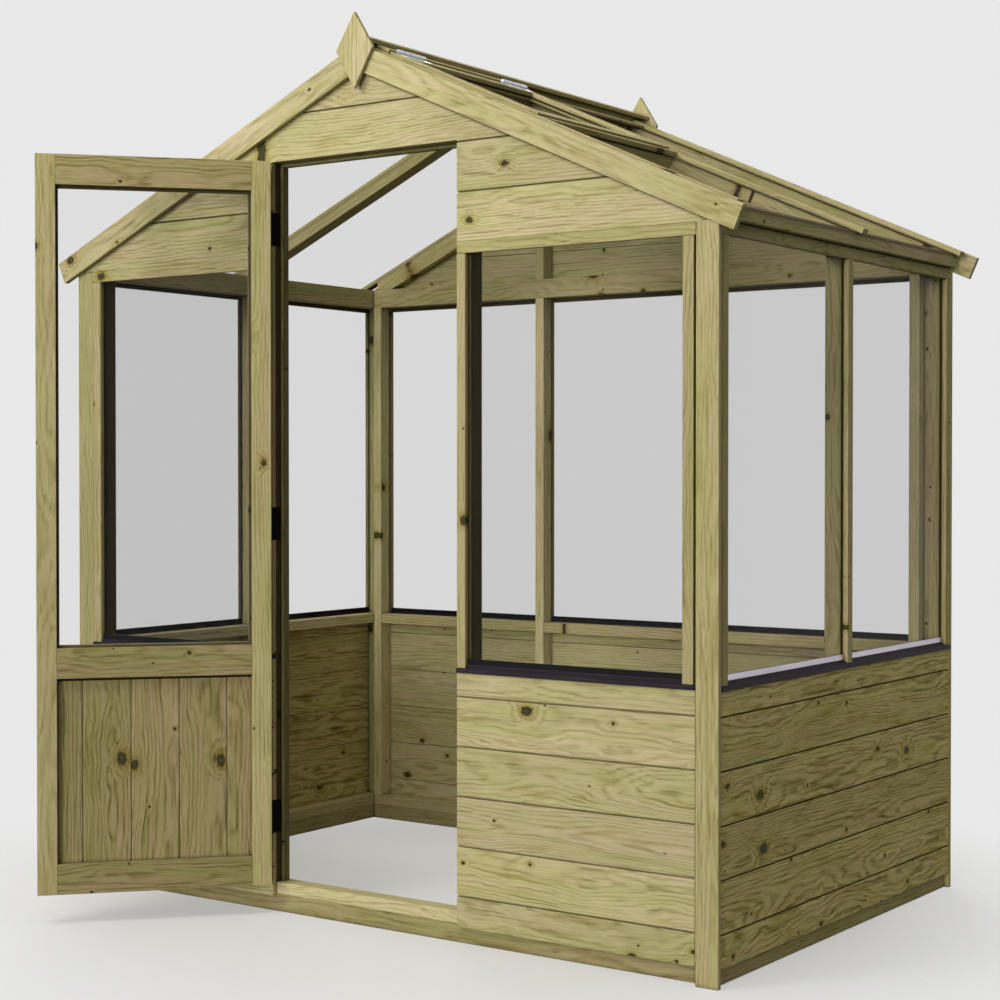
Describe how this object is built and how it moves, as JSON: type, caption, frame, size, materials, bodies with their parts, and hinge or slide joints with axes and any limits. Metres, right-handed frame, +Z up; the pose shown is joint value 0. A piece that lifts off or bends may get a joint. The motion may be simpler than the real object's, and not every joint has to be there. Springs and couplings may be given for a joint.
{
  "type": "greenhouse",
  "caption": "Small apex wooden greenhouse with boarded lower walls, glazed upper walls and roof, an outward-opening half-glazed door and a hinged roof vent.",
  "frame": {"origin": "on the ground at the middle of the front bearer's underside, centred in the doorway", "axes": "+X to the right seen from in front of the door, +Y from the front wall to the back wall, +Z up"},
  "size_m": [1.923, 1.6166, 2.0269],
  "materials": {
    "timber": "pressure-treated planed softwood",
    "sill": "black stained",
    "glazing": "clear",
    "door_hinge": "black",
    "hinge": "zinc plated"
  },
  "bodies": {
    "house": {"ground_bearers": "timber", "threshold": "timber", "front_studs": "timber", "front_rails": "timber", "front_cladding_left": "timber", "front_cladding_right": "timber", "front_beads": "timber", "front_panes": "glazing", "front_sills": "sill", "left_studs": "timber", "left_rails": "timber", "left_cladding": "timber", "left_beads": "timber", "left_panes": "glazing", "left_sill": "sill", "right_studs": "timber", "right_rails": "timber", "right_cladding": "timber", "right_beads": "timber", "right_panes": "glazing", "right_sill": "sill", "back_studs": "timber", "back_rails": "timber", "back_cladding": "timber", "back_beads": "timber", "back_panes": "glazing", "back_sill": "sill", "front_gable_frame": "timber", "front_gable_cladding": "timber", "back_gable_frame": "timber", "back_gable_cladding": "timber", "door_head": "timber", "door_stops": "timber", "front_corner_strips": "timber", "back_corner_strips": "timber", "ridge_board": "timber", "mid_rafters": "timber", "vent_trimmers": "timber", "left_roof_panes": "glazing", "right_roof_panes": "glazing", "rafter_caps": "timber", "ridge_rails": "timber", "ridge_capping": "timber", "fascias": "timber", "front_bargeboards": "timber", "back_bargeboards": "timber", "back_packers": "timber", "front_finial": "timber", "back_finial": "timber", "door_post_leaves": "door_hinge", "vent_rail_leaves": "hinge"},
    "door": {"door_stiles": "timber", "door_rails": "timber", "door_boards": "timber", "door_beads": "timber", "door_pane": "glazing", "door_leaves": "door_hinge"},
    "vent": {"vent_frame": "timber", "vent_pane": "glazing", "vent_leaves": "hinge"}
  },
  "joints": [
    {"name": "door_swing", "type": "hinge", "parent": "house", "child": "door", "pos_m": [-0.2635, -0.039, 0.9], "axis": [0, 0, 1], "range_deg": [-45, 131.7]},
    {"name": "vent_swing", "type": "hinge", "parent": "house", "child": "vent", "pos_m": [0.06423, 0.267, 1.94413], "axis": [0, -1, 0], "range_deg": [0, 45]}
  ]
}
